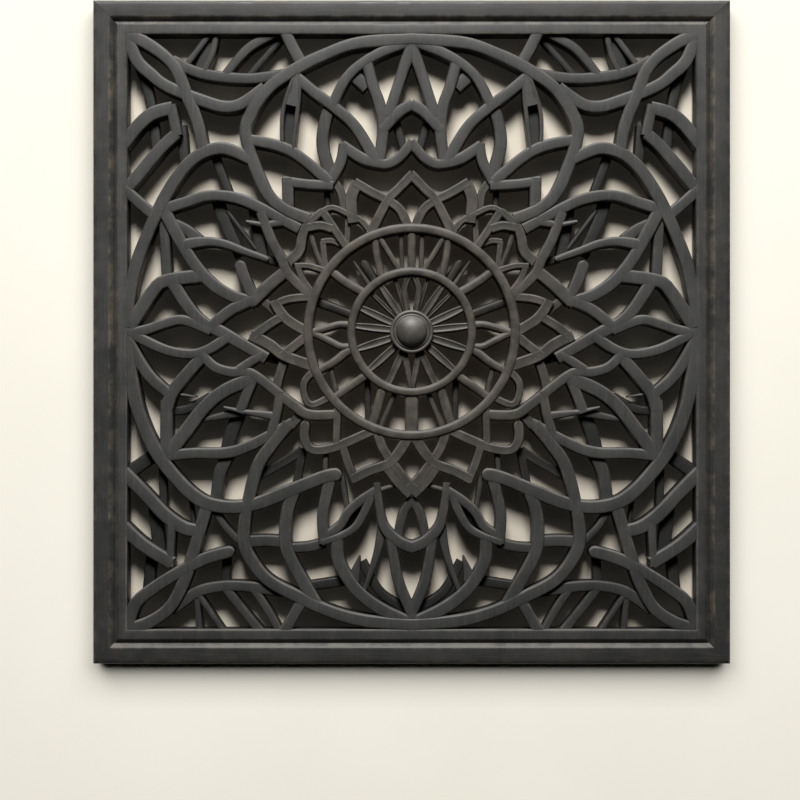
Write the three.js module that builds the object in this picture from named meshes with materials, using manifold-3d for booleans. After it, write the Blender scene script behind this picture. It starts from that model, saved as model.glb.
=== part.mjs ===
// Mashrabiya screen: a pierced, carved wooden wall panel in a mitred frame, with a rosette and a turned boss.
// It is drawn flat, with X to the right, Y up the panel and Z the height off the wall, in millimetres.
// The group at the end stands it up, so that the back lies on the plane Y = 0 and the front faces -Y.
import * as THREE from 'three';
import { mergeVertices } from 'three/addons/utils/BufferGeometryUtils.js';
import Module from 'manifold-3d';

// Outer size of the frame
const PANEL_WIDTH = 600;
const PANEL_HEIGHT = 625;

// Frame rails: width to the joint with the board, height off the wall, and the two edge cuts
const RAIL_WIDTH = 19.4;
const RAIL_HEIGHT = 24.6;
const RAIL_CHAMFER = 3.8;
const RAIL_ROUND = 3.2;
const ROUND_CUT = 0.3;
const JOINT_GAP = 0.3;

// Carved board: its opening inside the flat border, and its levels off the wall
const OPENING_WIDTH = 535;
const OPENING_HEIGHT = 560;
const BORDER_CHAMFER = 3.8;
const BOARD_BACK = 6;
const FRONT = 24;
const MID = 20.5;
const BACK = 15.5;

// Rosette
const RING_HEIGHT = 25.4;
const OUTER_RING = 97.6;
const OUTER_RING_WIDTH = 9;
const INNER_RING = 56.8;
const INNER_RING_WIDTH = 8;
const RING_SIDES = 28;
const SPOKE_HEIGHT = 22.5;
const HUB_RADIUS = 18;

// Turned boss on the hub
const BOSS_COLLAR = 20.5;
const BOSS_DOME = 14.5;
const BOSS_TOP = 36;
const COLLAR_HEIGHT = 3.6;
const COLLAR_EDGE = 1.4;
const COLLAR_GROOVE = 1;
const BOSS_SIDES = 24;
const DOME_STEPS = 5;

// Longest straight stretch of a curved strap, and how far a joined face may stray from flat
const STRAP_STEP = 22;
const FLATNESS = 0.2;

// Paint, and the height of the hanging point above the middle of the panel
const CHARCOAL = '#3a3a39';
const ROSETTE_BROWN = '#4a4641';
const HANGING_LINE = PANEL_HEIGHT / 2 - RAIL_WIDTH / 2;

// Straps of the left half, mirrored to the right half. Each has its level, its width (or its two end
// widths) and the points that its line runs through: out from the middle line, up from the centre.
const STAR_LOBES = [
  [FRONT, 12, [-4, 276], [50, 272], [82, 261], [110, 247], [135, 229], [151, 206], [156, 183], [139, 136],
    [122, 117], [97, 106]],
  [FRONT, 12, [270, 5], [264, 42], [256, 74], [233, 126], [208, 161], [180, 173], [152, 163]],
  [FRONT, 13, [270, -5], [264, -45], [257, -76], [243, -109], [222, -138], [200, -158], [180, -164.5],
    [158, -164.5], [136, -158.5], [86, -138], [66, -134]],
  [FRONT, 12, [116, -87], [133, -108], [146, -129], [156, -170], [158, -198], [150, -217], [134, -235],
    [106, -250], [78, -263], [45, -272], [-4, -276]],
];

const CORNER_LEAVES = [
  [FRONT, 12, [270, 281], [252, 273], [233, 260], [221, 246], [213, 226], [201, 195], [196, 168]],
  [FRONT, 12, [268, 280], [259, 256], [246, 243], [230, 231], [195, 217], [176, 212], [160, 215],
    [138, 230]],
  [FRONT, 12, [268, -278], [260, -256], [245, -243], [222, -228], [195, -214], [167, -206]],
  [FRONT, 12, [270, -281], [248, -274], [230, -262], [219, -245], [210, -222], [193, -164]],
];

const TOP_PETAL = [
  [FRONT, 11, [154, 181], [132, 177], [115, 171], [99, 160], [77, 141]],
  [FRONT, 10, [2, 273], [27, 264], [48, 252], [63, 237], [75, 213]],
  [MID, 12, [76, 216], [82, 198], [84, 176], [76, 147]],
  [FRONT, 11, [112, 243], [92, 226], [72, 211], [52, 192], [32, 158]],
  [FRONT, [5, 13], [107, 247], [110, 226], [113, 213]],
  [BACK, 15, [114, 214], [118, 168]],
  [FRONT, 11, [-2, 274], [8, 247], [22, 203]],
  [FRONT, 11, [42, 253], [36, 231], [30, 214], [27, 192], [31, 158]],
  [FRONT, 11, [-1, 214.5], [12, 207], [28, 190]],
  [FRONT, 10, [34, 160], [24, 158], [12, 164], [-1, 179]],
  [FRONT, 11, [30, 159], [46, 163], [66, 176]],
  [FRONT, 10, [64, 177], [67, 160], [77, 141]],
  [FRONT, 10, [121, 142], [98, 139], [74, 138]],
  [FRONT, 11, [117, 145], [116, 108]],
  [MID, 13, [54, 242], [42, 231]],
  [FRONT, 4, [108, 247], [117, 224], [122, 203], [122, 174]],
  [FRONT, 4, [107, 247], [106, 225], [108, 205], [112, 170]],
  [BACK, 8, [15, 200], [7, 172]],
];

const UPPER_EDGE = [
  [MID, 11, [226, 257], [205, 246], [180, 241], [150, 239.5], [114, 244.5]],
  [MID, 9, [125, 284], [150, 271], [163, 259], [176, 243]],
  [BACK, 7, [122, 280], [134, 266], [157, 240]],
  [MID, 6, [189, 284], [203, 265], [213, 252]],
  [MID, 6, [184, 284], [188, 264], [196, 246]],
  [BACK, 12, [188, 284], [201, 245]],
  [FRONT, 11, [120, 284], [111, 266], [103, 252]],
];

const LEFT_UPPER = [
  [FRONT, 11, [272, 136], [258, 123], [243, 110]],
  [FRONT, 13, [272, 176], [256, 196], [243, 206], [225, 211]],
  [FRONT, 10, [227, 214], [224, 200], [221, 185]],
  [FRONT, 12, [221, 187], [238, 171], [272, 130]],
  [BACK, 10, [259, 255], [249, 226], [241, 172]],
  [BACK, 10, [218, 196], [214, 150]],
  [FRONT, 11, [235, 115], [213, 122], [190, 128.5], [165, 126], [143, 117], [106, 97]],
  [FRONT, [3, 9], [156, 104], [138, 101], [120, 104]],
  [FRONT, 10, [142, 113], [137, 99], [131, 84], [122, 68], [116, 54], [94, 33]],
  [MID, 10, [234, 116], [233, 85], [231, 50]],
  [FRONT, 12, [235, 118], [222, 93], [207, 67], [190, 47], [170, 34], [148, 28]],
  [MID, [8, 13], [230, 106], [213, 97], [202, 87]],
  [FRONT, [11, 6], [214, 82], [195, 85], [177, 83], [158, 76], [135, 68]],
  [BACK, 8, [140, 70], [118, 64]],
  [BACK, 9, [187, 170], [180, 150], [172, 130]],
  [BACK, 12, [184, 126], [177, 104], [162, 72]],
  [BACK, 12, [149, 117], [142, 72]],
  [FRONT, 13, [272, -4], [258, 17], [244, 38], [232, 48], [194, 53]],
  [FRONT, 12, [227, 49], [211, 24], [197, 9], [178, -1], [137, -25]],
  [BACK, 9, [142, -22], [122, -27]],
  [FRONT, 11, [188, 6], [171, 20], [148, 31]],
  [FRONT, 11, [163, 67], [158, 52], [148, 30]],
  [FRONT, 12, [117, 58], [132, 46], [151, 28]],
  [MID, 9, [146, 34], [134, 24], [122, 12]],
  [FRONT, 10, [272, -3], [250, 2], [232, 8], [215, 11], [189, 1]],
];

const LEFT_LOWER = [
  [FRONT, 10, [272, 3], [252, -8], [232, -17], [210, -21], [192, -17], [170, -3]],
  [FRONT, 11, [272, 2], [257, -27], [245, -44], [229, -58]],
  [FRONT, 12, [194, -20], [212, -40], [226, -58], [231, -74]],
  [FRONT, 12, [231, -64], [231, -118]],
  [FRONT, 10, [199, -20], [186, -33], [170, -38], [150, -40], [113, -68], [97, -78], [70, -78]],
  [FRONT, 13, [232, -119], [213, -94], [196, -72], [177, -56], [150, -44]],
  [FRONT, 11, [233, -117], [205, -114.5], [175, -114], [152, -107], [112, -86]],
  [FRONT, 10, [148, -42], [156, -60], [162, -76]],
  [FRONT, 9, [163, -36], [151, -28], [139, -21]],
  [BACK, 13, [162, -74], [170, -93], [176, -116]],
  [MID, [10, 5], [158, -75], [198, -83]],
  [FRONT, [2.5, 9], [177, -71], [160, -75], [146, -77], [126, -80]],
  [FRONT, 9, [124, -56], [127, -76], [133, -97]],
  [BACK, 9, [230, -74], [213, -73], [191, -61]],
  [BACK, 13, [272, -136], [238, -112]],
  [FRONT, 13, [272, -132], [252, -152], [232, -173], [214, -185], [197, -188]],
  [FRONT, 13, [272, -184], [253, -201], [226, -218]],
  [FRONT, 8, [226, -180], [228, -221]],
  [BACK, 13, [244, -158], [239, -208]],
  [BACK, 11, [246, -210], [250, -246]],
  [BACK, 8, [236, -124], [235, -170]],
  [MID, 12, [172, -114], [181, -133], [185, -163]],
  [MID, 7, [188, -164], [176, -184], [158, -202]],
];

const LOWER_EDGE = [
  [MID, 11, [227, -263], [205, -247], [186, -241], [160, -240], [114, -246]],
  [MID, 6, [203, -252], [200, -284]],
  [MID, 6, [202, -247], [190, -265], [177, -284]],
  [MID, 9, [178, -239], [160, -262], [142, -284]],
  [MID, 8, [151, -240], [135, -264], [124, -284]],
  [FRONT, 11, [103, -253], [112, -269], [121, -284]],
  [BACK, 9, [175, -208], [176, -240]],
];

const BOTTOM_PETAL = [
  [MID, 12, [156, -198], [138, -197], [120, -198]],
  [FRONT, 12, [110, -149], [117, -168], [119, -190], [115, -212], [90, -257]],
  [FRONT, 11, [76, -136], [80, -152], [84, -174], [82, -199]],
  [FRONT, 9, [84, -194], [68, -183], [60, -170], [48, -159], [31, -148]],
  [FRONT, 8, [85, -198], [68, -193], [54, -185], [46, -173], [38, -155]],
  [BACK, 12, [74, -190], [44, -163]],
  [MID, 10, [116, -204], [98, -203], [82, -199]],
  [FRONT, 12, [70, -192], [69, -215], [58, -236], [44, -251], [24, -264], [-4, -276]],
  [MID, [13, 2], [55, -234], [49, -212]],
  [BACK, 9, [47, -217], [30, -246], [6, -262]],
  [MID, [10, 4], [27, -180], [33, -210], [46, -248]],
  [FRONT, 10, [20, -190], [16, -218], [11, -240], [-2, -270]],
  [FRONT, [7, 12], [33, -142], [30, -168], [25, -185], [12, -198], [-1.5, -203.5]],
  [MID, 9, [-1, -158.5], [8, -171], [13, -193]],
  [BACK, 10, [102, -241], [60, -235]],
];

const ROSETTE_PETALS = [
  [FRONT, 9, [-1.5, 149], [12, 135], [23, 123], [39, 92]],
  [FRONT, 9, [54, 141], [37, 131], [23, 124], [11, 115], [3, 98]],
  [FRONT, 11, [51, 141], [57, 125], [55, 103]],
  [FRONT, 6, [90, 109], [76, 117], [60, 111], [48, 105], [38, 93]],
  [FRONT, [7, 11], [84, 114], [98, 101], [103, 90], [106, 76], [116, 66]],
  [FRONT, 8, [83, 112], [73, 97], [61, 79]],
  [MID, 6, [60, 110], [61, 82]],
  [MID, 6, [84, 86], [81, 58]],
  [MID, 6, [85, 85], [75, 86], [60, 79]],
  [FRONT, 6, [110, 62], [97, 62], [80, 57]],
  [FRONT, 6, [108, 64], [103, 50], [91, 34]],
  [FRONT, 8, [131, 25], [115, 31], [92, 33]],
  [FRONT, 10, [130, 29], [118, 12], [95, -2]],
  [FRONT, 9, [150, -6], [137, 5], [119, 16]],
  [FRONT, 11, [152, -3], [134, -12], [119, -23], [91, -33]],
  [FRONT, 9, [123, -23], [110, -13], [95, -1]],
  [MID, 9, [119, -24], [124, -38], [128, -54]],
  [FRONT, 7, [91, -36], [101, -47], [101, -60], [94, -69], [74, -60]],
  [FRONT, 9, [100, -84], [101, -100], [94, -111], [76, -110], [56, -102], [32, -91]],
  [FRONT, 7, [70, -70], [71, -110]],
  [FRONT, 8, [65, -108], [60, -124], [53, -141]],
  [FRONT, 10, [56, -139], [40, -131], [19, -122], [2, -98]],
  [FRONT, 9, [32, -95], [26, -112], [8, -137]],
  [FRONT, 16, [25, -120], [12, -138], [-1, -151]],
  [BACK, 8, [103, -110], [110, -148]],
  [BACK, 9, [104, -112], [118, -121], [150, -139]],
  [MID, 9, [104, -77], [114, -88], [124, -99]],
  [MID, 8, [73, 142], [66, 130], [64, 112]],
  [FRONT, 9, [99, 98], [86, 100], [75, 97]],
];

const ROSETTE_STAYS = [
  [FRONT, 8, [0, 54], [0, 98]],
  [FRONT, 7, [35, 94], [33, 74], [28, 50]],
  [FRONT, 5, [32, 92], [11, 57]],
  [BACK, 9, [47, 68], [34, 48]],
  [FRONT, 8.5, [77, 58], [62, 46.5], [44, 36]],
  [BACK, 9, [92, 30], [54, 16]],
  [FRONT, 7, [96, -1], [79, 4], [67, 7], [54, 6]],
  [FRONT, 7, [95, 0], [77, -9], [66, -14], [53, -13]],
  [FRONT, 8, [91, -38], [74, -29], [61, -19], [51, -16]],
  [FRONT, 8, [75, -64], [57, -51], [43, -41]],
  [FRONT, 9, [27, -52], [32, -70], [38, -90]],
  [FRONT, 13, [0, -54], [0, -98]],
];

const THIN_STRAPS = [
  [MID, 5, [81, -113], [82, -136]],
  [MID, 5, [66, -136], [61, -166]],
  [MID, 5, [33, -150], [16, -145]],
  [MID, [5, 1.5], [226, -58], [204, -61]],
  [BACK, 5, [175, 115], [148, 79]],
  [MID, 4.5, [10, 95], [9, 58]],
  [MID, [1.5, 5], [55, 67], [39, 43]],
  [MID, 5, [77, -33], [70, -62]],
  [MID, 5, [15.5, -57], [30, -92]],
  [BACK, 6, [42, -45], [41, -88]],
  [BACK, 6, [81, 142], [79, 114]],
  [MID, 5, [97, 100], [91, 78], [82, 57]],
  [BACK, 4, [210, -154], [206, -184]],
];

// Spokes from the hub to the inner ring, with a leaf above the hub and a pointed pair below it
const ROSETTE_SPOKES = [
  [SPOKE_HEIGHT, 4.5, [3, 14], [4.2, 22.6], [6.8, 38], [5, 46], [1, 54]],
  [SPOKE_HEIGHT, 4.5, [6.5, -14], [5.8, -24.7], [3.5, -38], [0.8, -52]],
  [MID, 3.5, [4.1, 13.4], [16.4, 53.5]],
  [SPOKE_HEIGHT, 5.5, [7.8, 11.6], [31.3, 46.4]],
  [MID, 3.5, [10.1, 9.7], [40.3, 38.9]],
  [SPOKE_HEIGHT, 6, [12.7, 5.9], [50.8, 23.7]],
  [SPOKE_HEIGHT, 6, [13.9, 1.5], [55.7, 5.9]],
  [SPOKE_HEIGHT, 6, [13.4, -4.2], [53.4, -16.9]],
  [SPOKE_HEIGHT, 6, [10.4, -9.4], [41.6, -37.5]],
  [SPOKE_HEIGHT, 5.5, [5.7, -12.8], [22.8, -51.2]],
];

const STRAPS = [
  ...STAR_LOBES, ...CORNER_LEAVES, ...TOP_PETAL, ...UPPER_EDGE, ...LEFT_UPPER, ...LEFT_LOWER,
  ...LOWER_EDGE, ...BOTTOM_PETAL, ...ROSETTE_PETALS, ...ROSETTE_STAYS, ...THIN_STRAPS, ...ROSETTE_SPOKES,
];

const wasm = await Module();
wasm.setup();

// A closed geometry as a solid that can be joined and cut
function solidOf(geometry) {
  geometry.deleteAttribute('normal');
  geometry.deleteAttribute('uv');
  const merged = mergeVertices(geometry);
  const vertProperties = new Float32Array(merged.attributes.position.array);
  const triVerts = new Uint32Array(merged.index.array);
  return new wasm.Manifold(new wasm.Mesh({ numProp: 3, vertProperties, triVerts }));
}

function geometryOf(solid) {
  const { vertProperties, triVerts } = solid.getMesh();
  const geometry = new THREE.BufferGeometry();
  geometry.setAttribute('position', new THREE.BufferAttribute(vertProperties, 3));
  geometry.setIndex(new THREE.BufferAttribute(triVerts, 1));
  geometry.computeVertexNormals();
  return geometry;
}

// An outline in X and Y, raised from one height off the wall to another
function raised(shape, bottom, top) {
  const geometry = new THREE.ExtrudeGeometry(shape, { depth: top - bottom, bevelEnabled: false });
  return geometry.translate(0, 0, bottom);
}

// The outline of a strap: its line, set off to both sides by half its width
function strapOutline(points, widthAtStart, widthAtEnd) {
  const line = new THREE.SplineCurve(points);
  const steps = Math.max(1, Math.ceil(line.getLength() / STRAP_STEP));
  const left = [];
  const right = [];
  for (let i = 0; i <= steps; i += 1) {
    const along = i / steps;
    const point = line.getPointAt(along);
    const tangent = line.getTangentAt(along);
    const half = THREE.MathUtils.lerp(widthAtStart, widthAtEnd, along) / 2;
    const across = new THREE.Vector2(-tangent.y, tangent.x).multiplyScalar(half);
    left.push(point.clone().add(across));
    right.unshift(point.clone().sub(across));
  }
  return new THREE.Shape([...left, ...right]);
}

function strap(side, [level, width, ...points]) {
  const [widthAtStart, widthAtEnd] = Array.isArray(width) ? width : [width, width];
  const line = points.map(([out, up]) => new THREE.Vector2(side * out, up));
  return solidOf(raised(strapOutline(line, widthAtStart, widthAtEnd), BOARD_BACK, level));
}

function rectangle(width, height) {
  const x = width / 2;
  const y = height / 2;
  return [[-x, -y], [x, -y], [x, y], [-x, y]].map(([px, py]) => new THREE.Vector2(px, py));
}

function circle(radius, sides) {
  const corner = (_, i) => new THREE.Vector2(
    radius * Math.cos((2 * Math.PI * i) / sides),
    radius * Math.sin((2 * Math.PI * i) / sides),
  );
  return Array.from({ length: sides }, corner);
}

function ringSolid(radius, width, top) {
  const shape = new THREE.Shape(circle(radius + width / 2, RING_SIDES));
  shape.holes.push(new THREE.Path(circle(radius - width / 2, RING_SIDES)));
  return solidOf(raised(shape, BOARD_BACK, top));
}

// The board's flat border, with the chamfer that makes one side of the groove against the frame
function borderSolid() {
  const width = PANEL_WIDTH - 2 * (RAIL_WIDTH + JOINT_GAP);
  const height = PANEL_HEIGHT - 2 * (RAIL_WIDTH + JOINT_GAP);
  const shape = new THREE.Shape(rectangle(width, height));
  shape.holes.push(new THREE.Path(rectangle(OPENING_WIDTH, OPENING_HEIGHT)));
  const c = BORDER_CHAMFER;
  const corner = new THREE.Shape([
    new THREE.Vector2(-2 * c, c),
    new THREE.Vector2(c, -2 * c),
    new THREE.Vector2(c, c),
  ]);
  const cutters = [0, 1, 2, 3].map((turn) => {
    const [across, along] = turn % 2 === 0 ? [width, height] : [height, width];
    const cutter = raised(corner, -along, along);
    cutter.rotateX(Math.PI / 2);
    cutter.translate(across / 2, 0, FRONT);
    cutter.rotateZ((turn * Math.PI) / 2);
    return solidOf(cutter);
  });
  const whole = solidOf(raised(shape, BOARD_BACK, FRONT));
  return cutters.reduce((border, cutter) => border.subtract(cutter), whole);
}

function carvedPanel() {
  const hub = solidOf(raised(new THREE.Shape(circle(HUB_RADIUS, RING_SIDES)), BOARD_BACK, FRONT));
  const pieces = [
    borderSolid(),
    hub,
    ringSolid(OUTER_RING, OUTER_RING_WIDTH, RING_HEIGHT),
    ringSolid(INNER_RING, INNER_RING_WIDTH, RING_HEIGHT),
    ...STRAPS.map((each) => strap(-1, each)),
    ...STRAPS.map((each) => strap(1, each)),
  ];
  const joined = pieces.reduce((panel, piece) => panel.add(piece));
  return geometryOf(joined.asOriginal().simplify(FLATNESS));
}

// A rail lies along X with its outer edge on Y = 0, and its ends are moved in to the mitre
function rail(length) {
  const section = new THREE.Shape([
    [0, 0],
    [RAIL_WIDTH, 0],
    [RAIL_WIDTH, RAIL_HEIGHT - RAIL_CHAMFER],
    [RAIL_WIDTH - RAIL_CHAMFER, RAIL_HEIGHT],
    [RAIL_ROUND, RAIL_HEIGHT],
    [ROUND_CUT * RAIL_ROUND, RAIL_HEIGHT - ROUND_CUT * RAIL_ROUND],
    [0, RAIL_HEIGHT - RAIL_ROUND],
  ].map(([inward, height]) => new THREE.Vector2(inward, height)));
  const geometry = raised(section, -length / 2, length / 2);
  const position = geometry.attributes.position;
  for (let i = 0; i < position.count; i += 1) {
    const inward = position.getX(i);
    const end = position.getZ(i);
    const mitre = Math.sign(end) * (inward + JOINT_GAP / 2);
    position.setXYZ(i, mitre - end, -inward, position.getY(i));
  }
  geometry.computeVertexNormals();
  return geometry;
}

// Half section of the boss, from its flat underside to the top of its dome
function boss() {
  const base = FRONT + JOINT_GAP;
  const shoulder = base + COLLAR_HEIGHT;
  const arc = Array.from({ length: DOME_STEPS + 1 }, (_, i) => {
    const turn = (i / DOME_STEPS) * (Math.PI / 2);
    return [BOSS_DOME * Math.cos(turn), shoulder + (BOSS_TOP - shoulder) * Math.sin(turn)];
  });
  arc[DOME_STEPS][0] = 0;
  const profile = [
    [0, base],
    [BOSS_COLLAR, base],
    [BOSS_COLLAR, shoulder - COLLAR_EDGE],
    [BOSS_COLLAR - COLLAR_EDGE, shoulder],
    [BOSS_DOME + 2 * COLLAR_GROOVE, shoulder],
    [BOSS_DOME + COLLAR_GROOVE, shoulder - COLLAR_GROOVE],
    ...arc,
  ];
  const points = profile.map(([radius, height]) => new THREE.Vector2(radius, height));
  const geometry = new THREE.LatheGeometry(points, BOSS_SIDES);
  return geometry.rotateX(Math.PI / 2);
}

function paintedWood(colour) {
  return new THREE.MeshStandardMaterial({ color: colour, roughness: 0.62, metalness: 0 });
}

const panel = new THREE.Mesh(carvedPanel(), paintedWood(CHARCOAL));
panel.name = 'carved_panel';

const frame = new THREE.Group();
const SIDES = [
  ['frame_rail_top', 0, PANEL_WIDTH, PANEL_HEIGHT],
  ['frame_stile_left', 1, PANEL_HEIGHT, PANEL_WIDTH],
  ['frame_rail_bottom', 2, PANEL_WIDTH, PANEL_HEIGHT],
  ['frame_stile_right', 3, PANEL_HEIGHT, PANEL_WIDTH],
];
for (const [name, turn, length, span] of SIDES) {
  const member = new THREE.Mesh(rail(length), paintedWood(CHARCOAL));
  member.name = name;
  member.geometry.translate(0, span / 2, 0);
  member.geometry.rotateZ((turn * Math.PI) / 2);
  frame.add(member);
}

const centreBoss = new THREE.Mesh(boss(), paintedWood(ROSETTE_BROWN));
centreBoss.name = 'centre_boss';

// Stands the screen up and puts the hanging point, at the back of the top rail, at the origin
const screen = new THREE.Group();
screen.add(panel, frame, centreBoss);
screen.rotation.x = Math.PI / 2;
screen.position.z = -HANGING_LINE;

const part = new THREE.Group();
part.add(screen);

export default part;
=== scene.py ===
# Mashrabiya screen: a pierced, carved and painted wooden wall panel, hung flat on a cream wall.
import math

import bpy
import numpy as np
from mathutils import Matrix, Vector


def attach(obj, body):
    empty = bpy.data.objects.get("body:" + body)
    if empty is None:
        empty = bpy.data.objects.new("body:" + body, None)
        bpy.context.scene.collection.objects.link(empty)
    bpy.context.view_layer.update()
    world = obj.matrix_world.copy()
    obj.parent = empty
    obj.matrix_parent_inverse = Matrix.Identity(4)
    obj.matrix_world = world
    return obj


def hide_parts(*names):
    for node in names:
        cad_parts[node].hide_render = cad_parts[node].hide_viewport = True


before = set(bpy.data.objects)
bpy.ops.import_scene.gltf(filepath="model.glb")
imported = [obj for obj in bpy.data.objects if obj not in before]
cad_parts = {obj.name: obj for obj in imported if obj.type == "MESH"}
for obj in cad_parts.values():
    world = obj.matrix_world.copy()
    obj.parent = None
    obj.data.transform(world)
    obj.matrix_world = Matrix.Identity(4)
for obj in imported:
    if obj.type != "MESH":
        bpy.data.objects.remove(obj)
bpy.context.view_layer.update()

# Driving sizes, in millimetres, as in the part's source
PANEL_WIDTH = 600
PANEL_HEIGHT = 625
RAIL_WIDTH = 19.4
RAIL_HEIGHT = 24.6
RAIL_CHAMFER = 3.8
JOINT_GAP = 0.3
OPENING_WIDTH = 535
OPENING_HEIGHT = 560
BORDER_CHAMFER = 3.8
BOARD_BACK = 6
FRONT = 24
MID = 20.5
BACK = 15.5
RING_HEIGHT = 25.4
OUTER_RING = 97.6
OUTER_RING_WIDTH = 9
INNER_RING = 56.8
INNER_RING_WIDTH = 8
HUB_RADIUS = 18
SPOKE_HEIGHT = 22.5
BOSS_COLLAR = 20.5
BOSS_DOME = 14.5
BOSS_TOP = 36
HANGING_LINE = PANEL_HEIGHT / 2 - RAIL_WIDTH / 2

# Straps of the left half, mirrored to the right half: level, width (or the two end widths), and the
# points of the strap's line, out from the middle line and up from the centre.
STAR_LOBES = [
    (FRONT, 12, (-4, 276), (50, 272), (82, 261), (110, 247), (135, 229), (151, 206), (156, 183),
        (139, 136), (122, 117), (97, 106)),
    (FRONT, 12, (270, 5), (264, 42), (256, 74), (233, 126), (208, 161), (180, 173), (152, 163)),
    (FRONT, 13, (270, -5), (264, -45), (257, -76), (243, -109), (222, -138), (200, -158), (180, -164.5),
        (158, -164.5), (136, -158.5), (86, -138), (66, -134)),
    (FRONT, 12, (116, -87), (133, -108), (146, -129), (156, -170), (158, -198), (150, -217), (134, -235),
        (106, -250), (78, -263), (45, -272), (-4, -276)),
]

CORNER_LEAVES = [
    (FRONT, 12, (270, 281), (252, 273), (233, 260), (221, 246), (213, 226), (201, 195), (196, 168)),
    (FRONT, 12, (268, 280), (259, 256), (246, 243), (230, 231), (195, 217), (176, 212), (160, 215),
        (138, 230)),
    (FRONT, 12, (268, -278), (260, -256), (245, -243), (222, -228), (195, -214), (167, -206)),
    (FRONT, 12, (270, -281), (248, -274), (230, -262), (219, -245), (210, -222), (193, -164)),
]

TOP_PETAL = [
    (FRONT, 11, (154, 181), (132, 177), (115, 171), (99, 160), (77, 141)),
    (FRONT, 10, (2, 273), (27, 264), (48, 252), (63, 237), (75, 213)),
    (MID, 12, (76, 216), (82, 198), (84, 176), (76, 147)),
    (FRONT, 11, (112, 243), (92, 226), (72, 211), (52, 192), (32, 158)),
    (FRONT, (5, 13), (107, 247), (110, 226), (113, 213)),
    (BACK, 15, (114, 214), (118, 168)),
    (FRONT, 11, (-2, 274), (8, 247), (22, 203)),
    (FRONT, 11, (42, 253), (36, 231), (30, 214), (27, 192), (31, 158)),
    (FRONT, 11, (-1, 214.5), (12, 207), (28, 190)),
    (FRONT, 10, (34, 160), (24, 158), (12, 164), (-1, 179)),
    (FRONT, 11, (30, 159), (46, 163), (66, 176)),
    (FRONT, 10, (64, 177), (67, 160), (77, 141)),
    (FRONT, 10, (121, 142), (98, 139), (74, 138)),
    (FRONT, 11, (117, 145), (116, 108)),
    (MID, 13, (54, 242), (42, 231)),
    (FRONT, 4, (108, 247), (117, 224), (122, 203), (122, 174)),
    (FRONT, 4, (107, 247), (106, 225), (108, 205), (112, 170)),
    (BACK, 8, (15, 200), (7, 172)),
]

UPPER_EDGE = [
    (MID, 11, (226, 257), (205, 246), (180, 241), (150, 239.5), (114, 244.5)),
    (MID, 9, (125, 284), (150, 271), (163, 259), (176, 243)),
    (BACK, 7, (122, 280), (134, 266), (157, 240)),
    (MID, 6, (189, 284), (203, 265), (213, 252)),
    (MID, 6, (184, 284), (188, 264), (196, 246)),
    (BACK, 12, (188, 284), (201, 245)),
    (FRONT, 11, (120, 284), (111, 266), (103, 252)),
]

LEFT_UPPER = [
    (FRONT, 11, (272, 136), (258, 123), (243, 110)),
    (FRONT, 13, (272, 176), (256, 196), (243, 206), (225, 211)),
    (FRONT, 10, (227, 214), (224, 200), (221, 185)),
    (FRONT, 12, (221, 187), (238, 171), (272, 130)),
    (BACK, 10, (259, 255), (249, 226), (241, 172)),
    (BACK, 10, (218, 196), (214, 150)),
    (FRONT, 11, (235, 115), (213, 122), (190, 128.5), (165, 126), (143, 117), (106, 97)),
    (FRONT, (3, 9), (156, 104), (138, 101), (120, 104)),
    (FRONT, 10, (142, 113), (137, 99), (131, 84), (122, 68), (116, 54), (94, 33)),
    (MID, 10, (234, 116), (233, 85), (231, 50)),
    (FRONT, 12, (235, 118), (222, 93), (207, 67), (190, 47), (170, 34), (148, 28)),
    (MID, (8, 13), (230, 106), (213, 97), (202, 87)),
    (FRONT, (11, 6), (214, 82), (195, 85), (177, 83), (158, 76), (135, 68)),
    (BACK, 8, (140, 70), (118, 64)),
    (BACK, 9, (187, 170), (180, 150), (172, 130)),
    (BACK, 12, (184, 126), (177, 104), (162, 72)),
    (BACK, 12, (149, 117), (142, 72)),
    (FRONT, 13, (272, -4), (258, 17), (244, 38), (232, 48), (194, 53)),
    (FRONT, 12, (227, 49), (211, 24), (197, 9), (178, -1), (137, -25)),
    (BACK, 9, (142, -22), (122, -27)),
    (FRONT, 11, (188, 6), (171, 20), (148, 31)),
    (FRONT, 11, (163, 67), (158, 52), (148, 30)),
    (FRONT, 12, (117, 58), (132, 46), (151, 28)),
    (MID, 9, (146, 34), (134, 24), (122, 12)),
    (FRONT, 10, (272, -3), (250, 2), (232, 8), (215, 11), (189, 1)),
]

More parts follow.
